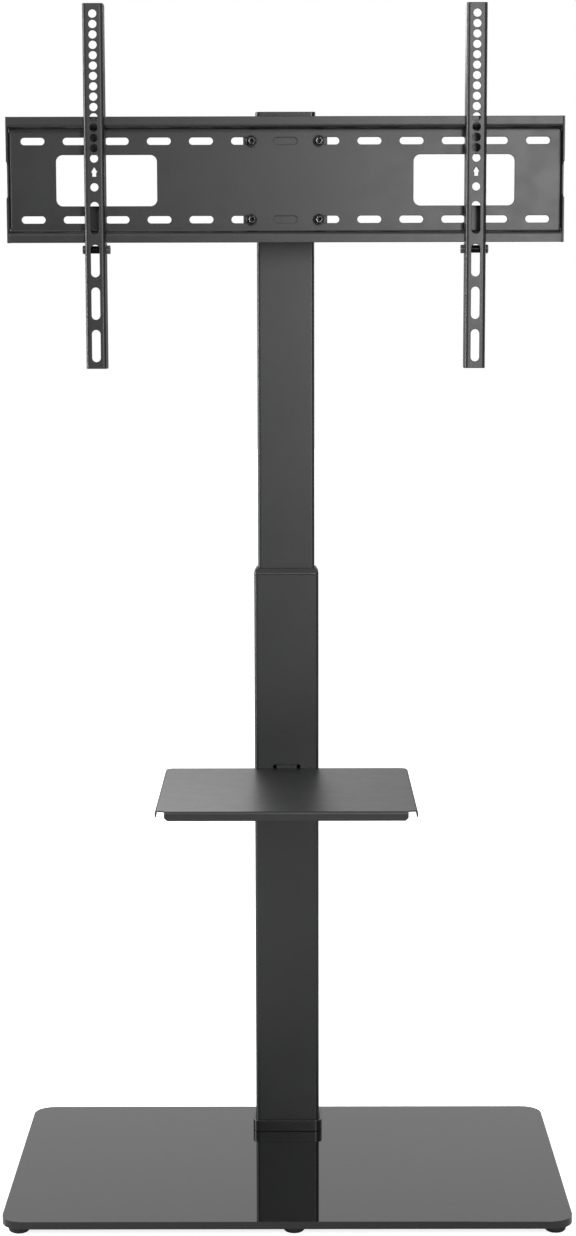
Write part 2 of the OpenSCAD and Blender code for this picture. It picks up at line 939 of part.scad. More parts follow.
// Upright section of one rail, in depth and height above the panel's middle
module rail_section() {
    strip_low = flange_end;
    back_c = [panel_front - bend_r, rail_in - bend_r];
    front_c = [lip_front + sheet_t + bend_r, rail_in + sheet_t + bend_r];
    translate([panel_front, strip_low])
        square([sheet_t, back_c[1] - strip_low]);
    translate(back_c)
        bend_outline(bend_r, sheet_t, 1, 1);
    translate([front_c[0], rail_in])
        square([back_c[0] - front_c[0], sheet_t]);
    translate(front_c)
        bend_outline(bend_r, sheet_t, -1, -1);
    translate([lip_front, front_c[1]])
        square([sheet_t, plate_h / 2 - front_c[1]]);
}

// Level section of the panel with the bends of its two side flanges
module panel_section() {
    half = plate_w / 2 - bend_out;
    translate([-half, panel_front])
        square([2 * half, sheet_t]);
    for (x = [-1, 1])
        translate([x * half, panel_front - bend_r])
            bend_outline(bend_r, sheet_t, x, 1);
}

// The flat of a side flange closes the ends of both rails, and is notched in the middle
module side_flange() {
    depth = panel_front - bend_r - lip_front;
    notch = panel_front - bend_out - notch_left - lip_front;
    rotate([90, 0, 90])
        linear_extrude(sheet_t, center = true)
            difference() {
                translate([lip_front + depth / 2, 0])
                    square([depth, plate_h], center = true);
                translate([lip_front, 0])
                    rounded_rect(2 * notch, notch_h, notch_r);
            }
}

module slot_row() {
    for (i = [-(slot_count - 1) / 2 : (slot_count - 1) / 2])
        translate([i * slot_pitch, 0])
            slot_outline(slot_len, slot_h);
}

// Every cut in the panel, as seen from the front
module panel_cuts() {
    for (z = [-1, 1])
        translate([0, z * slot_rows / 2])
            slot_row();
    for (x = [-1, 1])
        translate([x * window_apart / 2, 0])
            rounded_rect(window_w, window_h, window_r);
}

module mount_plate() {
    color(bright)
        translate([0, 0, mount_z]) {
            difference() {
                union() {
                    for (z = [-1, 1])
                        scale([1, 1, z])
                            rotate([90, 0, 90])
                                linear_extrude(plate_w - 2 * (sheet_t + corner_gap), center = true)
                                    rail_section();
                    linear_extrude(2 * flange_end, center = true)
                        panel_section();
                }
                translate([0, panel_back + cut, 0])
                    rotate([90, 0, 0])
                        linear_extrude(sheet_t + 2 * cut)
                            panel_cuts();
            }
            for (x = [-1, 1])
                translate([x * (plate_w - sheet_t) / 2, 0, 0])
                    side_flange();
        }
}

module plate_bolts() {
    color(zinc)
        at_mount(plate_bolt_apart, slot_rows)
            translate([0, panel_front, 0])
                rotate([-90, 0, 0])
                    socket_bolt(m8_d, sheet_t + swing_t + m8_nut_h + bolt_tail,
                                m8_head_d, m8_head_h, m8_socket_w);
}

module plate_nuts() {
    color(zinc)
        at_mount(plate_bolt_apart, slot_rows)
            translate([0, swing_back, 0])
                rotate([-90, 0, 0])
                    nut(m8_nut_w, m8_nut_h, m8_d + 2 * pin_play);
}

// Arms

// Level section of the folded channel, with its web in front
module arm_channel() {
    depth = arm_back - arm_front;
    half = arm_w / 2 - bend_out;
    translate([-half, 0])
        square([2 * half, sheet_t]);
    for (x = [-1, 1])
        translate([x * half, bend_out])
            bend_outline(bend_r, sheet_t, x, -1);
    for (x = [-1, 1])
        translate([x * (arm_w - sheet_t) / 2, (depth + bend_out) / 2])
            square([sheet_t, depth - bend_out], center = true);
}

// Holes and slots of the web, drawn downward from the top of the arm
module arm_cuts() {
    lone = arm_hole_top + arm_hole_span;
    for (i = [0 : arm_hole_count - 1])
        translate([0, -arm_hole_top - i * arm_hole_pitch])
            circle(d = arm_hole_d);
    translate([0, -lone + arrow_rise])
        arrow_outline();
    translate([0, -lone])
        circle(d = arm_hole_d);
    for (i = [0 : arm_slot_count - 1])
        translate([0, -lone - slot_drop - i * arm_slot_pitch])
            rotate([0, 0, 90])
                slot_outline(arm_slot_len, arm_slot_w);
}

// The small arrow hole that shows which end of the arm goes up
module arrow_outline() {
    stem_w = arrow_w * arrow_stem_w_share;
    stem_h = arrow_h * arrow_stem_h_share;
    polygon([[0, arrow_h / 2], [arrow_w / 2, arrow_h / 2 - (arrow_h - stem_h)],
             [stem_w / 2, arrow_h / 2 - (arrow_h - stem_h)], [stem_w / 2, -arrow_h / 2],
             [-stem_w / 2, -arrow_h / 2], [-stem_w / 2, arrow_h / 2 - (arrow_h - stem_h)],
             [-arrow_w / 2, arrow_h / 2 - (arrow_h - stem_h)]]);
}

// What is cut from the flanges for the rails, seen from the side, about the plate's middle.
// A finger of the flange stays behind the upper lip, so that the arm hangs on it.
module rail_cuts() {
    g = part_gap;
    low = rail_in - g;
    lip_a = lip_front - g;
    lip_b = lip_front + sheet_t + g;
    far = arm_back + cut;
    // the corners that meet the panel are cut off to clear its bends
    clear = arm_back - bend_r;
    corner = low - bend_r - cut;
    // upper rail: the slot for the rail, and the pocket for its lip
    polygon([[lip_a, low], [clear, low], [far, corner],
             [far, rail_in + sheet_t + g + hook_gap],
             [lip_b + hook_finger, rail_in + sheet_t + g + hook_gap],
             [lip_b + hook_finger, rail_in + sheet_t + g + bend_r],
             [lip_b + bend_r, rail_in + sheet_t + g + bend_r],
             [lip_b, rail_in + sheet_t + g + 2 * bend_r],
             [lip_b, plate_h / 2 + g], [lip_a, plate_h / 2 + g]]);
    // lower rail: open downward, so that the arm swings in
    polygon([[lip_a, -low], [clear, -low], [far, -corner],
             [far, -plate_h / 2 - g], [lip_a, -plate_h / 2 - g]]);
}

module arm() {
    color(bright)
        difference() {
            translate([0, arm_front, arm_bottom])
                linear_extrude(arm_len)
                    arm_channel();
            translate([0, arm_front + sheet_t + cut, arm_top])
                rotate([90, 0, 0])
                    linear_extrude(sheet_t + 2 * cut)
                        arm_cuts();
            translate([0, 0, mount_z])
                rotate([90, 0, 90])
                    linear_extrude(arm_w + 2 * cut, center = true)
                        rail_cuts();
            translate([0, lock_y, lock_z])
                rod_x(m6_d + 2 * pin_play, -arm_w / 2 - cut, arm_w / 2 + cut);
        }
}

// The lock bolt crosses the arm from its outer side, so its head is away from the middle
module lock_bolt() {
    color(zinc)
        translate([-arm_w / 2, lock_y, lock_z])
            rotate([0, 90, 0])
                socket_bolt(m6_d, arm_w + m6_nut_h, m6_head_d, m6_head_h, m6_socket_w);
}

module lock_sleeve() {
    color(zinc)
        difference() {
            translate([0, lock_y, lock_z])
                rod_x(lock_sleeve_d, -arm_w / 2 + sheet_t, arm_w / 2 - sheet_t);
            translate([0, lock_y, lock_z])
                rod_x(m6_d + 2 * pin_play, -arm_w / 2, arm_w / 2);
        }
}

module lock_nut() {
    color(zinc)
        translate([arm_w / 2, lock_y, lock_z])
            rotate([0, 90, 0])
                nut(m6_nut_w, m6_nut_h, m6_d + 2 * pin_play);
}

module on_left() {
    translate([-arm_x, 0, 0])
        children();
}

module on_right() {
    translate([arm_x, 0, 0])
        mirror([1, 0, 0])
            children();
}

module left_arm() { on_left() arm(); }
module left_lock_bolt() { on_left() lock_bolt(); }
module left_lock_sleeve() { on_left() lock_sleeve(); }
module left_lock_nut() { on_left() lock_nut(); }
module right_arm() { on_right() arm(); }
module right_lock_bolt() { on_right() lock_bolt(); }
module right_lock_sleeve() { on_right() lock_sleeve(); }
module right_lock_nut() { on_right() lock_nut(); }

glass_base();
base_feet();
base_gasket();
base_support_plate();
base_bolts();
column_gasket();
foot_block();
base_collar();
lower_column();
column_bush();
height_bolts();
height_nuts();
shelf_tray();
shelf_bracket();
upper_column();
column_glide();
column_cap();
head_nut_strip();
swivel_head();
head_screws();
swivel_bracket();
swivel_bolt();
swivel_washers();
swivel_bolt_washers();
swivel_nut();
mount_plate();
plate_bolts();
plate_nuts();
left_arm();
left_lock_bolt();
left_lock_sleeve();
left_lock_nut();
right_arm();
right_lock_bolt();
right_lock_sleeve();
right_lock_nut();
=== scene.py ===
import math

import bmesh
import bpy
from mathutils import Matrix, Vector


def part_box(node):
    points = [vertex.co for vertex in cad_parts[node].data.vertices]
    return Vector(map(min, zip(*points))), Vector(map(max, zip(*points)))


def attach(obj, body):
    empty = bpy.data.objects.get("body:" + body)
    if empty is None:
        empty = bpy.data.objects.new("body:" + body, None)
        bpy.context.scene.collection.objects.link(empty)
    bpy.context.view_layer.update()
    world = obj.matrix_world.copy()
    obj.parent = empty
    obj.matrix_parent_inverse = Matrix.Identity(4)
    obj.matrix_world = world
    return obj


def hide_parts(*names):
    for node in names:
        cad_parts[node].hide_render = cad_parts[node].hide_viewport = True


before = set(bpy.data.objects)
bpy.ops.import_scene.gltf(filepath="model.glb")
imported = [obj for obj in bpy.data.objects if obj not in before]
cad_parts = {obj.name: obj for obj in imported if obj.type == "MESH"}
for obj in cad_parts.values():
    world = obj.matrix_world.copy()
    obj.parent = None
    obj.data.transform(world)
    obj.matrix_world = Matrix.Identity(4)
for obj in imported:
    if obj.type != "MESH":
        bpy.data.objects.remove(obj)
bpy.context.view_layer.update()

# Camera: a studio camera on a tripod at chest height, about three metres in front of the stand.
# It looks slightly down, so that the tops of the shelf and of the glass foot show.
SENSOR = 36
FOCAL = 69.79
CAMERA_PLACE = (0.0079, -2.8385, 1.062)
CAMERA_DOWN = math.radians(7.444)
CAMERA_LEFT = math.radians(0.116)
CAMERA_ROLL = math.radians(-0.13)

lens = bpy.data.cameras.new("camera")
lens.sensor_fit = "VERTICAL"
lens.sensor_width = lens.sensor_height = SENSOR
lens.lens = FOCAL
camera = bpy.data.objects.new("camera", lens)
camera.location = CAMERA_PLACE
turned = Matrix.Rotation(CAMERA_LEFT, 3, "Z") @ Matrix.Rotation(math.pi / 2 - CAMERA_DOWN, 3, "X")
camera.rotation_euler = (turned @ Matrix.Rotation(CAMERA_ROLL, 3, "Z")).to_euler()
bpy.context.scene.collection.objects.link(camera)
bpy.context.scene.camera = camera
bpy.context.scene.view_settings.view_transform = "Standard"

# Studio: a floor of white paper in a white room, with low dark flags all round that only mirrors
# show, so that the steel's edges stay crisp. The tall softbox beside the camera puts the sheen on
# the right half of the mount, the high one lifts its upper left, and the rest light edges and back.
WHITE = [1, 1, 1, 1]
PAPER = "#e8e8e8"
PAPER_MIRRORED = "#d8d8d8"
PAPER_GLOW = 0.78
FLOOR_SIZE = 30.0
ROOM_LIGHT = 0.74
FLAG_GREY = 0.25
FLAG_TOP = math.radians(9)
WHITE_FROM = math.radians(16)


def colour(text):
    """The linear colour of an sRGB hex value such as "#202124"."""
    shares = [int(text[i:i + 2], 16) / 255 for i in (1, 3, 5)]
    return [s / 12.92 if s <= 0.04045 else ((s + 0.055) / 1.055) ** 2.4 for s in shares] + [1]


def link(tree, node, sources):
    """Links outputs to a node's sockets, each by the name or the number of the socket."""
    for key, source in dict(sources).items():
        tree.links.new(source, node.inputs[key])


def add(tree, kind, settings, sources=()):
    """Adds one node. Settings go to its sockets or properties, and sources are linked to it."""
    made = tree.nodes.new("ShaderNode" + kind)
    for key, value in settings.items():
        if isinstance(key, int) or key in made.inputs:
            made.inputs[key].default_value = value
        else:
            setattr(made, key, value)
    link(tree, made, sources)
    return made


def seen_by(tree):
    """Two values of 1 or 0: the camera sees this surface directly, and gloss or glass shows it."""
    ray = add(tree, "LightPath", {})
    mirrored = add(tree, "Math", {"operation": "MAXIMUM"},
                   {0: ray.outputs["Is Glossy Ray"], 1: ray.outputs["Is Transmission Ray"]})
    return ray.outputs["Is Camera Ray"], mirrored.outputs[0]


room = bpy.data.worlds.new("white_room")
bpy.context.scene.world = room
room.use_nodes = True
tree = room.node_tree
by_camera, by_gloss = seen_by(tree)
upward = add(tree, "SeparateXYZ", {}, {0: add(tree, "TexCoord", {}).outputs["Generated"]})
walls = add(tree, "MapRange", {"From Min": math.sin(FLAG_TOP), "From Max": math.sin(WHITE_FROM),
                               "To Min": FLAG_GREY, "To Max": 1.0}, {"Value": upward.outputs["Z"]})
lit = add(tree, "MixRGB", {"Color1": [ROOM_LIGHT] * 3 + [1]},
          {"Fac": by_gloss, "Color2": walls.outputs[0]})
white = add(tree, "MixRGB", {"Color2": WHITE}, {"Fac": by_camera, "Color1": lit.outputs[0]})
link(tree, tree.nodes["Background"], {"Color": white.outputs[0]})

paper = bpy.data.materials.new("white_paper")
paper.use_nodes = True
tree = paper.node_tree
tree.nodes.clear()
by_camera, by_gloss = seen_by(tree)
tone = add(tree, "MixRGB", {"Color1": colour(PAPER), "Color2": colour(PAPER_MIRRORED)},
           {"Fac": by_gloss})
shaded = add(tree, "BsdfDiffuse", {}, {"Color": tone.outputs[0]})
glow = add(tree, "Math", {"operation": "MULTIPLY", 1: PAPER_GLOW}, {0: by_camera})
lit = add(tree, "Emission", {"Color": WHITE}, {"Strength": glow.outputs[0]})
both = add(tree, "AddShader", {}, {0: shaded.outputs[0], 1: lit.outputs[0]})
add(tree, "OutputMaterial", {}, {"Surface": both.outputs[0]})

half = FLOOR_SIZE / 2
sheet = bpy.data.meshes.new("floor")
sheet.from_pydata([(-half, -half, 0), (half, -half, 0), (half, half, 0), (-half, half, 0)],
                  [], [(0, 1, 2, 3)])
sheet.materials.append(paper)
floor = bpy.data.objects.new("floor", sheet)
bpy.context.scene.collection.objects.link(floor)


def softbox(name, place, aim, size, power):
    """A rectangular lamp at a place, turned to face the middle of the stand at a height."""
    lamp = bpy.data.lights.new(name, "AREA")
    lamp.shape = "RECTANGLE"
    lamp.size, lamp.size_y = size
    lamp.energy = power
    made = bpy.data.objects.new(name, lamp)
    made.location = place
    made.rotation_euler = (Vector((0, 0, aim)) - Vector(place)).to_track_quat("-Z", "Y").to_euler()
    bpy.context.scene.collection.objects.link(made)


softbox("softbox_beside_camera", (0.72, -3.3, 1.5), aim=1.3, size=(0.5, 1.8), power=46)
softbox("softbox_high", (-0.6, -3.2, 2.3), aim=1.3, size=(0.6, 0.8), power=9)
softbox("softbox_left", (-2.3, -0.25, 1.3), aim=1.1, size=(0.4, 2.0), power=60)
softbox("softbox_over_shelf", (-0.75, 2.45, 2.05), aim=0.5, size=(1.7, 1.0), power=18)
softbox("softbox_back_left", (-2.0, 2.3, 1.6), aim=1.0, size=(0.8, 1.6), power=14)
softbox("softbox_back_right", (2.3, 1.9, 1.4), aim=1.0, size=(0.8, 1.6), power=14)

# Glass foot: a thick sheet of tempered float glass with an enamelled underside, so that it looks
# black all through and mirrors like water. The edges are ground flat, polished and chamfered.
GLASS = "#070808"
GLASS_IOR = 1.52
GLASS_ROUGHNESS = (0.01, 0.035)
SMEAR_SIZE = 0.07
ARRIS = 0.0007
NOISE_LOW, NOISE_HIGH = 0.3, 0.7    # the noise seldom leaves this range
NOISE_DETAIL = 2.0
SAME_POINT = 0.00001                # corners of a CAD mesh as near as this are one corner
SAME_FACE = math.radians(0.5)       # faces that turn less than this are one face
SHARP = math.radians(40)            # edges that turn more than this are rounded
EDGE = 0.0003
LARGE_FACES_LEAD = 100


def new_material(name, settings=()):
    """A material with one Principled shader, and that shader and the object's own coordinates."""
    made = bpy.data.materials.new(name)
    made.use_nodes = True
    shader = made.node_tree.nodes["Principled BSDF"]
    for socket, value in dict(settings).items():
        shader.inputs[socket].default_value = value
    return made, made.node_tree, shader, add(made.node_tree, "TexCoord", {}).outputs["Object"]


def wander(tree, place, size, low, high):
    """A value that wanders between two others, in patches about as wide as the size in metres."""
    noise = add(tree, "TexNoise", {"Scale": 1 / size, "Detail": NOISE_DETAIL}, {"Vector": place})
    return add(tree, "MapRange", {"From Min": NOISE_LOW, "From Max": NOISE_HIGH,
                                  "To Min": low, "To Max": high}, {"Value": noise.outputs[0]}).outputs[0]


def dress(node, material, edge=EDGE, segments=2, clamp=True):
    """Gives a node of the frame its material, and rounds its sharp edges by a fraction of a
    millimetre. The clamp holds the rounding back where the mesh has short edges."""
    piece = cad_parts[node]
    piece.data.materials.clear()
    piece.data.materials.append(material)
    weld = piece.modifiers.new("weld", "WELD")
    weld.merge_threshold = SAME_POINT
    flat = piece.modifiers.new("flat_faces", "DECIMATE")
    flat.decimate_type = "DISSOLVE"
    flat.angle_limit = SAME_FACE
    bevel = piece.modifiers.new("edges", "BEVEL")
    bevel.width = edge
    bevel.segments = segments
    bevel.use_clamp_overlap = clamp
    bevel.limit_method = "ANGLE"
    bevel.angle_limit = SHARP
    level = piece.modifiers.new("level_faces", "WEIGHTED_NORMAL")
    level.weight = LARGE_FACES_LEAD


def make_tempered_glass():
    made, tree, shader, place = new_material("tempered_glass", {
        "Base Color": colour(GLASS), "IOR": GLASS_IOR})
    link(tree, shader, {"Roughness": wander(tree, place, SMEAR_SIZE, *GLASS_ROUGHNESS)})
    return made


dress("glass_base", make_tempered_glass(), ARRIS, segments=3)

# Feet and gaskets: moulded black rubber. The six feet are glued under the rim of the glass, and
# the two gaskets keep the glass off the steel. Dull, with a faint moulded grain.
RUBBER = ("#0f0f10", "#151516")
RUBBER_CLOUD = 0.02
RUBBER_ROUGHNESS = (0.62, 0.72)
# The real grain is about 0.3 mm across, and is drawn four times as coarse so that it shows
RUBBER_GRAIN = 0.0012
RUBBER_GRAIN_DEPTH = 0.00006


def mottle(tree, place, colours, size):
    """A colour that wanders between two others, in patches of a size."""
    return add(tree, "MixRGB", {"Color1": colour(colours[0]), "Color2": colour(colours[1])},
               {"Fac": wander(tree, place, size, 0, 1)}).outputs[0]


def lumps(tree, place, size, depth, over=None):
    """A normal raised by lumps of a size and a depth in metres, on top of another normal or none."""
    noise = add(tree, "TexNoise", {"Scale": 1 / size, "Detail": NOISE_DETAIL}, {"Vector": place})
    sources = {"Height": noise.outputs[0]}
    if over is not None:
        sources["Normal"] = over
    return add(tree, "Bump", {"Strength": 1.0, "Distance": depth}, sources).outputs[0]


def make_rubber():
    made, tree, shader, place = new_material("black_rubber")
    link(tree, shader, {"Base Color": mottle(tree, place, RUBBER, RUBBER_CLOUD),
                        "Roughness": wander(tree, place, RUBBER_GRAIN, *RUBBER_ROUGHNESS),
                        "Normal": lumps(tree, place, RUBBER_GRAIN, RUBBER_GRAIN_DEPTH)})
    return made


rubber = make_rubber()
for name in ("base_feet", "base_gasket", "column_gasket"):
    dress(name, rubber)

# Support plate: 3 mm steel under the glass, which spreads the load of the column. Like all the sheet
# and tube it has a satin black polyester powder coat, sprayed on and baked, with a faint orange peel
# and a fine texture. It is duller where it runs over an edge, and its colour there is painted
# lighter as a highlight.
COAT = ("#0f1012", "#141517")
COAT_CLOUD = 0.09
COAT_ROUGHNESS = (0.33, 0.37)
COAT_SATIN_CLOUD = 0.02
PEEL_SIZE = 0.004
PEEL_DEPTH = 0.000006
# The real texture is about 0.3 mm across, and is drawn four times as coarse so that it shows
TEXTURE_SIZE = 0.0012
TEXTURE_DEPTH = 0.00005
# The coat flows over an edge in a rounding of its own, on top of that of the steel
COAT_ROUND = 0.001
COAT_ROUND_SAMPLES = 8
# Colour along the coat's edges: a painted highlight
COAT_EDGE_HIGHLIGHT = "#1a1b1d"
COAT_EDGE_ROUGHER = 0.5
COAT_EDGE_REACH = 0.0012
COAT_EDGE_SHARE = (0.5, 1)
# The edge mask, which paints a highlight along edges and makes the coat duller there, starts where
# the surface turns by about 6 degrees and is full at about 26
EDGE_MASK_STARTS = 0.995
EDGE_MASK_FULL = 0.9
EDGE_MASK_PATCH = 0.006
EDGE_MASK_SAMPLES = 6


def on_edges(tree, place, reach, low, high):
    """1 along sharp edges, 0 on the flats, broken up by noise so that it isn't an even line."""
    rounded = add(tree, "Bevel", {"Radius": reach, "samples": EDGE_MASK_SAMPLES})
    flat = add(tree, "NewGeometry", {})
    turn = add(tree, "VectorMath", {"operation": "DOT_PRODUCT"},
               {0: rounded.outputs[0], 1: flat.outputs["Normal"]})
    edge = add(tree, "MapRange", {"From Min": EDGE_MASK_STARTS, "From Max": EDGE_MASK_FULL,
                                  "To Min": 0.0, "To Max": 1.0}, {"Value": turn.outputs["Value"]})
    patchy = wander(tree, place, EDGE_MASK_PATCH, low, high)
    return add(tree, "Math", {"operation": "MULTIPLY"}, {0: edge.outputs[0], 1: patchy}).outputs[0]


def make_powder_coat():
    made, tree, shader, place = new_material("powder_coat")
    edge = on_edges(tree, place, COAT_EDGE_REACH, *COAT_EDGE_SHARE)
    # Along the edges the coat's colour is painted lighter: a painted highlight
    coat_with_edge_highlight = add(tree, "MixRGB", {"Color2": colour(COAT_EDGE_HIGHLIGHT)},
               {"Fac": edge, "Color1": mottle(tree, place, COAT, COAT_CLOUD)})
    satin = wander(tree, place, COAT_SATIN_CLOUD, *COAT_ROUGHNESS)
    dull = add(tree, "Math", {"operation": "MULTIPLY_ADD", 1: COAT_EDGE_ROUGHER}, {0: edge, 2: satin})
    rounded = add(tree, "Bevel", {"Radius": COAT_ROUND, "samples": COAT_ROUND_SAMPLES})
    peel = lumps(tree, place, PEEL_SIZE, PEEL_DEPTH, rounded.outputs[0])
    link(tree, shader, {"Base Color": coat_with_edge_highlight.outputs[0], "Roughness": dull.outputs[0],
                        "Normal": lumps(tree, place, TEXTURE_SIZE, TEXTURE_DEPTH, peel)})
    return made


powder_coat = make_powder_coat()
dress("base_support_plate", powder_coat)

# Base screws: four M8 low-head socket screws that hold plate, glass and column together, driven
# into the tapped block in the column's foot. Steel, zinc plated and black passivated, which leaves
# a dark satin metal. Its corners are painted much lighter as a highlight.
ZINC = ("#101011", "#19191b")
ZINC_CLOUD = 0.004
ZINC_ROUGHNESS = (0.2, 0.3)
# Colour along the screws' edges: a painted highlight
ZINC_EDGE_HIGHLIGHT = "#c4c4c6"
ZINC_EDGE_REACH = 0.0008
ZINC_EDGE_SHARE = (0.3, 0.9)
# The grain of the plating is finer than 0.1 mm, and is drawn at 0.8 mm so that it shows
ZINC_GRAIN = 0.0008
ZINC_GRAIN_DEPTH = 0.00001
# Metric screws: thread and its pitch, head, socket over its flats, and nut over its flats
M8 = dict(d=0.008, pitch=0.00125, head_d=0.013, head_h=0.008, socket=0.006, nut_w=0.013, nut_h=0.0065)
M8_LOW = dict(M8, head_d=0.014, head_h=0.0044)
AROUND = 48                 # corners of a turned piece
SMOOTH = math.radians(35)   # its faces shade as one up to this turn
RINGS_A_PITCH = 4
THREAD_SHARE = 0.54         # depth of a thread as a share of its pitch
THREADED_SHARE = 0.95       # threaded part of a socket screw's shank
TIP_CHAMFER = 1.2           # length of the chamfer at a screw's tip, in depths of its thread
SOCKET_SHARE = 0.55         # depth of a socket as a share of its head
SOCKET_CHAMFER = 0.0004
DRILL_CONE = 0.0003         # depth of the cone that a drill leaves in the socket
CENTRE = 0.0001             # radius of the smallest ring, at the middle of a face
KNURL_DEPTH = 0.00018
# Turned ends of a socket head. Its rim is a share of its radius, and the rest is counted in rims:
# the shoulder's rings (in from the side, back from the face), where the knurl begins and is full
# behind the face, where it ends before the seat, and how far the seat lies in
RIM_SHARE = 0.2
SHOULDER = ((1, 0), (0.4, 0.25))
KNURL_BEGINS, KNURL_FULL, KNURL_ENDS = 0.9, 1.3, 0.6
SEAT_IN = 0.5


def make_black_zinc(name, tones):
    made, tree, shader, place = new_material(name, {"Metallic": 1.0})
    # The edges are painted much lighter than the plating: a painted highlight
    highlighted_edges = add(tree, "MixRGB", {"Color2": colour(ZINC_EDGE_HIGHLIGHT)},
                 {"Fac": on_edges(tree, place, ZINC_EDGE_REACH, *ZINC_EDGE_SHARE),
                  "Color1": mottle(tree, place, tones, ZINC_CLOUD)})
    link(tree, shader, {"Base Color": highlighted_edges.outputs[0],
                        "Roughness": wander(tree, place, ZINC_CLOUD, *ZINC_ROUGHNESS),
                        "Normal": lumps(tree, place, ZINC_GRAIN, ZINC_GRAIN_DEPTH)})
    return made


black_zinc = make_black_zinc("black_zinc", ZINC)


def hexagon(width, angle):
    """The radius at an angle of a hexagon that is so wide over its flats, with a corner at angle 0."""
    off_flat = (angle + math.pi / 6) % (math.pi / 3) - math.pi / 6
    return width / 2 / math.cos(math.pi / 6 - abs(off_flat))


def skin(bm, loops, closed=False):
    """Faces between neighbouring loops of corners, with one over each end unless it is closed."""
    for low, high in zip(loops, loops[1:] + (loops[:1] if closed else [])):
        for i in range(len(low)):
            j = (i + 1) % len(low)
            bm.faces.new((low[i], low[j], high[j], high[i]))
    if not closed:
        bm.faces.new(list(reversed(loops[0])))
        bm.faces.new(loops[-1])


def stack(bm, rings, place, closed=False):
    """Skins a stack of rings, each a radius (a number or a function of the angle) and a height."""
    loops = []
    for radius, height in rings:
        loop = []
        for i in range(AROUND):
            angle = 2 * math.pi * i / AROUND
            r = radius(angle) if callable(radius) else radius
            loop.append(bm.verts.new(place @ Vector((r * math.cos(angle), r * math.sin(angle), height))))
        loops.append(loop)
    skin(bm, loops, closed)


def shank_rings(screw, length, threaded):
    """Rings of a shank that is threaded over its last stretch and chamfered at its tip."""
    r = screw["d"] / 2
    pitch = screw["pitch"]
    deep = pitch * THREAD_SHARE
    chamfer = deep * TIP_CHAMFER

    def thread(height):
        fade = min(1, (height - length + threaded) / pitch)
        cap = r - deep + min(deep, max(0, length - height) * deep / chamfer)

        def radius(angle):
            turn = (height / pitch - angle / (2 * math.pi)) % 1
            return min(cap, r - fade * deep * abs(2 * turn - 1))
        return radius

    count = int(threaded / pitch * RINGS_A_PITCH)
    heights = [length - threaded + threaded * i / count for i in range(count + 1)]
    return [(r, 0)] + [(thread(height), height) for height in heights]


def socket_screw(bm, screw, length, place):
    """A socket-head screw: the shank runs up from its seat at height 0, and the head hangs below."""
    r = screw["head_d"] / 2
    face = -screw["head_h"]
    bottom = face * (1 - SOCKET_SHARE)
    rim = r * RIM_SHARE

    def knurled(angle):
        ridge = round(angle / (2 * math.pi) * AROUND) % 2
        return r - KNURL_DEPTH * ridge

    def socket(grow):
        return lambda angle: hexagon(screw["socket"] + 2 * grow, angle)

    head = [(CENTRE, bottom + DRILL_CONE), (socket(0), bottom), (socket(0), face + SOCKET_CHAMFER),
            (socket(SOCKET_CHAMFER), face)]
    head += [(r - rim * inward, face + rim * behind) for inward, behind in SHOULDER]
    head += [(r - KNURL_DEPTH, face + rim * KNURL_BEGINS), (knurled, face + rim * KNURL_FULL),
             (knurled, -rim), (r - KNURL_DEPTH, -rim * KNURL_ENDS), (r - rim * SEAT_IN, 0)]
    stack(bm, head + shank_rings(screw, length, length * THREADED_SHARE), place)


def along(point, direction):
    """Places a piece at a point with its height along a direction."""
    return Matrix.Translation(point) @ Vector(direction).to_track_quat("Z", "Y").to_matrix().to_4x4()


def four_places(node, inset, across):
    """Middles of four screws, in from the corners of their node's box, across two of its axes."""
    low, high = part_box(node)
    for i in (0, 1):
        for j in (0, 1):
            place = low.copy()
            for axis, side in zip(across, (i, j)):
                place[axis] = high[axis] - inset if side else low[axis] + inset
            yield place


def finish_piece(name, bm, material, body, replaced=(), smooth=SMOOTH):
    """Turns a built shape into a piece of the object that rides on a body."""
    bmesh.ops.recalc_face_normals(bm, faces=bm.faces)
    mesh = bpy.data.meshes.new(name)
    bm.to_mesh(mesh)
    bm.free()
    mesh.materials.append(material)
    mesh.shade_smooth()
    mesh.set_sharp_from_angle(angle=smooth)
    piece = bpy.data.objects.new(name, mesh)
    bpy.context.scene.collection.objects.link(piece)
    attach(piece, body)
    if replaced:
        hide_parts(*replaced)


bm = bmesh.new()
low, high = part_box("base_bolts")
for place in four_places("base_bolts", M8_LOW["head_d"] / 2, (0, 1)):
    place.z = low.z + M8_LOW["head_h"]
    socket_screw(bm, M8_LOW, high.z - place.z, along(place, (0, 0, 1)))
finish_piece("base_screws", bm, black_zinc, "stand", ["base_bolts"])
dress("foot_block", black_zinc)

# Collar, bush, glide and cap: injection moulded ABS. The collar hides the foot of the column, the
# bush guides the upper tube, the glide closes its lower end and the cap its top. Spark-eroded
# moulds leave an even grain, and the natural gloss of the plastic keeps it satin.
ABS = ("#09090a", "#0d0d0e")
ABS_IOR = 1.54
ABS_CLOUD = 0.03
ABS_ROUGHNESS = (0.22, 0.28)
# The real grain is about 0.2 mm across, and is drawn four times as coarse so that it shows
ABS_GRAIN = 0.0008
ABS_GRAIN_DEPTH = 0.00003
ABS_EDGE = 0.0006


def make_moulded_abs():
    made, tree, shader, place = new_material("moulded_abs", {"IOR": ABS_IOR})
    link(tree, shader, {"Base Color": mottle(tree, place, ABS, ABS_CLOUD),
                        "Roughness": wander(tree, place, ABS_GRAIN, *ABS_ROUGHNESS),
                        "Normal": lumps(tree, place, ABS_GRAIN, ABS_GRAIN_DEPTH)})
    return made


moulded_abs = make_moulded_abs()
for name in ("base_collar", "column_bush", "column_glide", "column_cap"):
    dress(name, moulded_abs, ABS_EDGE, segments=3, clamp=False)

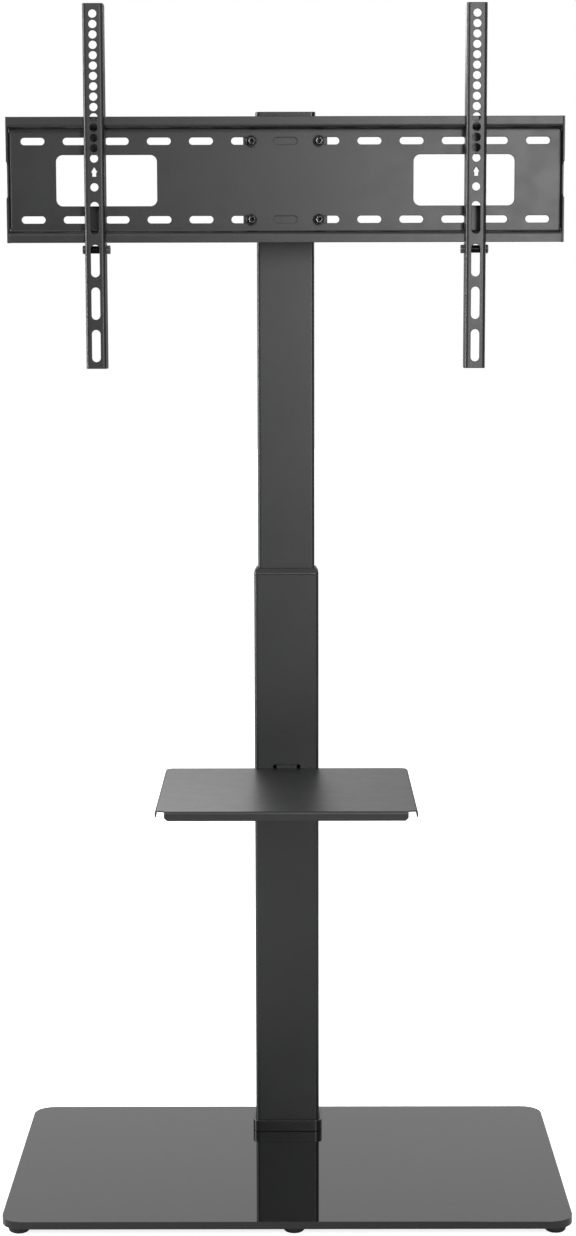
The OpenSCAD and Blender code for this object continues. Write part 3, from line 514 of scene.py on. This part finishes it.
# Lower column: an 80 x 40 mm welded steel tube, powder coated. Two M8 nuts are welded on its back,
# and the hex bolts in them lock the upper tube at its height.
SAWN_EDGE = 0.00003         # the tube's sawn end under the bush is barely broken
M8_HEX = dict(M8, head_w=0.013, head_h=0.0053, threaded=0.018)
BORE_CLEARANCE = 0.0001
COUNTERSINK = 0.08          # of a nut's bore
WASHER_FACE = 0.95          # of a hex head's width
WASHER_FACE_H = 0.0004
# Turned ends of a hexagon, ring by ring: steps along it and out from its flats, as shares of how
# far its corners stand out
TURNED = ((0, 0), (0.25, 0.55), (0.5, 1))
WELD_RIPPLE = 0.0011
WELD_RIPPLE_SHARE = 0.16    # depth of a ripple as a share of the bead's radius
WELD_RINGS_A_RIPPLE = 4
WELD_FEWEST_RINGS = 8
WELD_SIDES = 12
WELD_TIP = 0.02             # square of the share of the radius that is left at a bead's ends
WELD_SMOOTH = math.radians(60)
TINY = 1e-9
# Three beads on a nut, on every other flat, each between two angles in degrees after a corner
NUT_WELD = 0.0012
NUT_WELD_CORNERS = (0, 120, 240)
NUT_WELD_FROM, NUT_WELD_TO = 12, 48
NUT_WELD_POINTS = 5


def chamfered_hexagon(width, low, high):
    """Rings of a hexagonal side whose corners are turned off towards either end."""
    tip = width / math.sqrt(3) - width / 2
    levels = [(low + tip * up, width / 2 + tip * outward) for up, outward in TURNED]
    levels += [(high - h + low, r) for h, r in reversed(levels)]
    return [(lambda a, r=r: min(r, hexagon(width, a)), z) for z, r in levels]


def hex_screw(bm, screw, length, place):
    """A hex-head screw laid out as a socket screw is, with the washer face under its head."""
    w = screw["head_w"]
    h = screw["head_h"]
    side = chamfered_hexagon(w, -h, -WASHER_FACE_H)
    head = [(CENTRE, -h)] + side[:-1]
    head += [(w / 2 * WASHER_FACE, -WASHER_FACE_H), (w / 2 * WASHER_FACE, 0)]
    stack(bm, head + shank_rings(screw, length, screw["threaded"]), place)


def hex_nut(bm, screw, place):
    """A nut with both faces turned and its bore countersunk, standing on height 0."""
    height = screw["nut_h"]
    bore = screw["d"] + BORE_CLEARANCE
    sink = bore * COUNTERSINK
    rings = [(bore / 2 + sink, 0)] + chamfered_hexagon(screw["nut_w"], 0, height)
    rings += [(bore / 2 + sink, height), (bore / 2, height - sink), (bore / 2, sink)]
    stack(bm, rings, place, closed=True)


def weld_bead(bm, points, radius):
    """A fillet of weld along a line of points: overlapping ripples, rounded off at both ends."""
    spans = [(b - a).length for a, b in zip(points, points[1:])]
    total = sum(spans)
    count = max(WELD_FEWEST_RINGS, int(total / WELD_RIPPLE * WELD_RINGS_A_RIPPLE))
    loops = []
    for k in range(count + 1):
        at = total * k / count
        left = at
        for (a, b), span in zip(zip(points, points[1:]), spans):
            if left <= span + TINY:
                break
            left -= span
        along_line = (b - a).normalized()
        middle = a + along_line * left
        ripple = 1 - WELD_RIPPLE_SHARE * ((at / WELD_RIPPLE) % 1)
        ends = math.sqrt(max(WELD_TIP, 1 - max(0, 1 - min(at, total - at) / radius) ** 2))
        turn = along_line.to_track_quat("Z", "Y")
        loop = []
        for i in range(WELD_SIDES):
            angle = 2 * math.pi * i / WELD_SIDES
            out = Vector((math.cos(angle), math.sin(angle), 0)) * radius * ripple * ends
            loop.append(bm.verts.new(middle + turn @ out))
        loops.append(loop)
    skin(bm, loops)


def finish_welds(name, beads, body):
    """Turns beads of weld into a piece, coated together with the parts that they join."""
    finish_piece(name, beads, powder_coat, body, smooth=WELD_SMOOTH)


dress("lower_column", powder_coat, SAWN_EDGE)
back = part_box("lower_column")[1].y
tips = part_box("height_bolts")[0].y
nuts_low, nuts_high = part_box("height_nuts")
nuts = bmesh.new()
bolts = bmesh.new()
beads = bmesh.new()
half_nut = M8["nut_w"] / 2
for z in (nuts_low.z + half_nut, nuts_high.z - half_nut):
    seat = Vector((0, back, z))
    hex_nut(nuts, M8, along(seat, (0, 1, 0)))
    hex_screw(bolts, M8_HEX, nuts_high.y - tips, along(Vector((0, nuts_high.y, z)), (0, -1, 0)))
    for corner in NUT_WELD_CORNERS:
        arc = []
        for step in range(NUT_WELD_POINTS):
            share = step / (NUT_WELD_POINTS - 1)
            angle = math.radians(corner + NUT_WELD_FROM + (NUT_WELD_TO - NUT_WELD_FROM) * share)
            r = hexagon(M8["nut_w"], angle)
            arc.append(seat + Vector((r * math.cos(angle), 0, r * math.sin(angle))))
        weld_bead(beads, arc, NUT_WELD)
finish_piece("weld_nuts", nuts, black_zinc, "stand", ["height_nuts"])
finish_piece("height_hex_bolts", bolts, black_zinc, "stand", ["height_bolts"])
finish_welds("nut_welds", beads, "stand")

# Shelf: 1.5 mm sheet steel, its sides and front lip folded down, hooked into the column by a tongue
# and carried by a folded bracket that is stitch welded under it. Powder coated as one piece.
STITCHES = 4
STITCH = 0.018
STITCH_RADIUS = 0.0015

dress("shelf_tray", powder_coat)
dress("shelf_bracket", powder_coat)
low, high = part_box("shelf_bracket")
beads = bmesh.new()
for x in (low.x, high.x):
    for i in range(STITCHES):
        middle = low.y + (high.y - low.y) * (i + 0.5) / STITCHES
        weld_bead(beads, [Vector((x, middle - STITCH / 2, high.z)),
                          Vector((x, middle + STITCH / 2, high.z))], STITCH_RADIUS)
finish_welds("shelf_stitch_welds", beads, "stand")

# Upper column: a 70 x 30 mm steel tube that slides in the lower one, with a row of holes up its
# back for the height bolts. The nut strip inside its top takes the four screws of the swivel head.
dress("upper_column", powder_coat)
dress("head_nut_strip", black_zinc)

# Swivel head: a 4 mm steel bracket with two welded ears, screwed to the front of the column. The
# swinging bracket's ears turn between them on an M10 bolt, against washers of natural nylon, which
# are off-white and let a little light in. Steel washers lie under the bolt's head and its nut.
M6 = dict(d=0.006, pitch=0.001, head_d=0.0105, head_h=0.0033, socket=0.004, nut_w=0.01, nut_h=0.005)
M10_HEX = dict(d=0.01, pitch=0.0015, head_w=0.016, head_h=0.0064, nut_w=0.016, nut_h=0.0084,
               threaded=0.026)
WASHER_EDGE = 0.0002
HEAD_WELD = 0.0022
SWING_WELD = 0.0018
WELD_IN = 0.004             # from the side of an ear to the end of its seam
HEAD_SEAM = 0.0561          # from the middle to the outside of the head's ears
SWING_SEAM = 0.047          # from the middle to the inside of the swinging ears
NYLON = ("#cfccc2", "#d8d6cd")
NYLON_CLOUD = 0.006
NYLON_IOR = 1.53
NYLON_ROUGHNESS = 0.4
NYLON_LIGHT = 0.2
NYLON_LIGHT_REACH = [0.002, 0.002, 0.0018]
# The turning marks are about 0.2 mm apart, and are drawn four times as coarse so that they show
NYLON_GRAIN = 0.0008
NYLON_GRAIN_DEPTH = 0.00002


def make_nylon():
    made, tree, shader, place = new_material("natural_nylon", {
        "IOR": NYLON_IOR, "Roughness": NYLON_ROUGHNESS,
        "Subsurface Weight": NYLON_LIGHT, "Subsurface Radius": NYLON_LIGHT_REACH})
    link(tree, shader, {"Base Color": mottle(tree, place, NYLON, NYLON_CLOUD),
                        "Normal": lumps(tree, place, NYLON_GRAIN, NYLON_GRAIN_DEPTH)})
    return made


dress("swivel_head", powder_coat)
dress("swivel_bracket", powder_coat)
dress("swivel_washers", make_nylon(), WASHER_EDGE)
dress("swivel_bolt_washers", black_zinc, WASHER_EDGE)

bm = bmesh.new()
low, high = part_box("head_screws")
web_y = low.y + M6["head_h"]
for place in four_places("head_screws", M6["head_d"] / 2, (0, 2)):
    place.y = web_y
    socket_screw(bm, M6, high.y - place.y, along(place, (0, 1, 0)))
finish_piece("swivel_head_screws", bm, black_zinc, "mast", ["head_screws"])

low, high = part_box("swivel_bolt")
middle = (low + high) / 2
bm = bmesh.new()
seat = Vector((middle.x, middle.y, high.z - M10_HEX["head_h"]))
hex_screw(bm, M10_HEX, seat.z - low.z, along(seat, (0, 0, -1)))
finish_piece("swivel_hex_bolt", bm, black_zinc, "mast", ["swivel_bolt"])
bm = bmesh.new()
seat.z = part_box("swivel_nut")[1].z
hex_nut(bm, M10_HEX, along(seat, (0, 0, -1)))
finish_piece("swivel_hex_nut", bm, black_zinc, "mast", ["swivel_nut"])

low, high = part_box("swivel_head")
swing_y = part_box("plate_nuts")[0].y
for name, body, y, seam, radius in (("head_welds", "mast", web_y, HEAD_SEAM, HEAD_WELD),
                                    ("swing_welds", "mount", swing_y, SWING_SEAM, SWING_WELD)):
    beads = bmesh.new()
    for side in (1, -1):
        z = (low.z + high.z) / 2 + side * seam
        weld_bead(beads, [Vector((low.x + WELD_IN, y, z)), Vector((high.x - WELD_IN, y, z))], radius)
    finish_welds(name, beads, body)

# Mount plate: 2 mm sheet steel with a hooked rail folded along the top and the bottom, two rows of
# punched slots, two windows and a turned flange at each end. A seam of weld inside each corner joins
# rail and flange. Four M8 socket screws with knurled heads hold the plate to the swinging bracket.
PUNCHED_EDGE = 0.0006
SHEET = 0.002
LIP = 0.013                 # height of a rail's folded lip
BEND = 0.0042               # outer radius of a fold
CORNER_WELD = 0.0013        # along the rail and the lip
RELIEF_WELD = 0.0017        # over the relief cut beside a corner

dress("mount_plate", powder_coat, PUNCHED_EDGE, segments=3)
low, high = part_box("mount_plate")
lip_y = low.y + SHEET
web_y = high.y - SHEET / 2
beads = bmesh.new()
for x in (low.x + SHEET, high.x - SHEET):
    relief_x = x + math.copysign((BEND - SHEET) / 2, -x)
    for edge, inward in ((low.z, 1), (high.z, -1)):
        rail_z = edge + inward * SHEET
        bend_z = edge + inward * BEND
        relief_z = edge + inward * (LIP + BEND + CORNER_WELD)
        weld_bead(beads, [Vector((x, high.y - 2 * SHEET, rail_z)), Vector((x, lip_y, rail_z))],
                  CORNER_WELD)
        weld_bead(beads, [Vector((x, lip_y, rail_z)), Vector((x, lip_y, edge + inward * LIP))],
                  CORNER_WELD)
        weld_bead(beads, [Vector((relief_x, web_y, bend_z)), Vector((relief_x, web_y, relief_z))],
                  RELIEF_WELD)
finish_welds("corner_welds", beads, "mount")

screws = bmesh.new()
nuts = bmesh.new()
low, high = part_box("plate_bolts")
for place in four_places("plate_bolts", M8["head_d"] / 2, (0, 2)):
    place.y = low.y + M8["head_h"]
    socket_screw(screws, M8, high.y - place.y, along(place, (0, 1, 0)))
    place.y = swing_y
    hex_nut(nuts, M8, along(place, (0, 1, 0)))
finish_piece("plate_screws", screws, black_zinc, "mount", ["plate_bolts"])
finish_piece("plate_hex_nuts", nuts, black_zinc, "mount", ["plate_nuts"])

# Arms: channels folded from 2 mm sheet steel, which hook over the upper rail and lie against the
# lower one. Under the lip an M6 screw with a sleeve and a nut crosses each arm and locks it on; the
# screw and the nut are drawn in a lighter, dark grey version of the black zinc.
LOCK_ZINC = ("#404043", "#4e4e52")

grey_zinc = make_black_zinc("grey_zinc", LOCK_ZINC)
for side, out in (("left", -1), ("right", 1)):
    body = side + "_slider"
    dress(side + "_arm", powder_coat)
    dress(side + "_lock_sleeve", black_zinc)
    low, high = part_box(side + "_lock_bolt")
    arm_low, arm_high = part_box(side + "_arm")
    outer, inner = (arm_high.x, arm_low.x) if out > 0 else (arm_low.x, arm_high.x)
    seat = (low + high) / 2
    seat.x = outer
    screw = bmesh.new()
    socket_screw(screw, M6, high.x - low.x - M6["head_h"], along(seat, (-out, 0, 0)))
    finish_piece(side + "_lock_screw", screw, grey_zinc, body, [side + "_lock_bolt"])
    seat.x = inner
    nut = bmesh.new()
    hex_nut(nut, M6, along(seat, (-out, 0, 0)))
    finish_piece(side + "_lock_hex_nut", nut, grey_zinc, body, [side + "_lock_nut"])
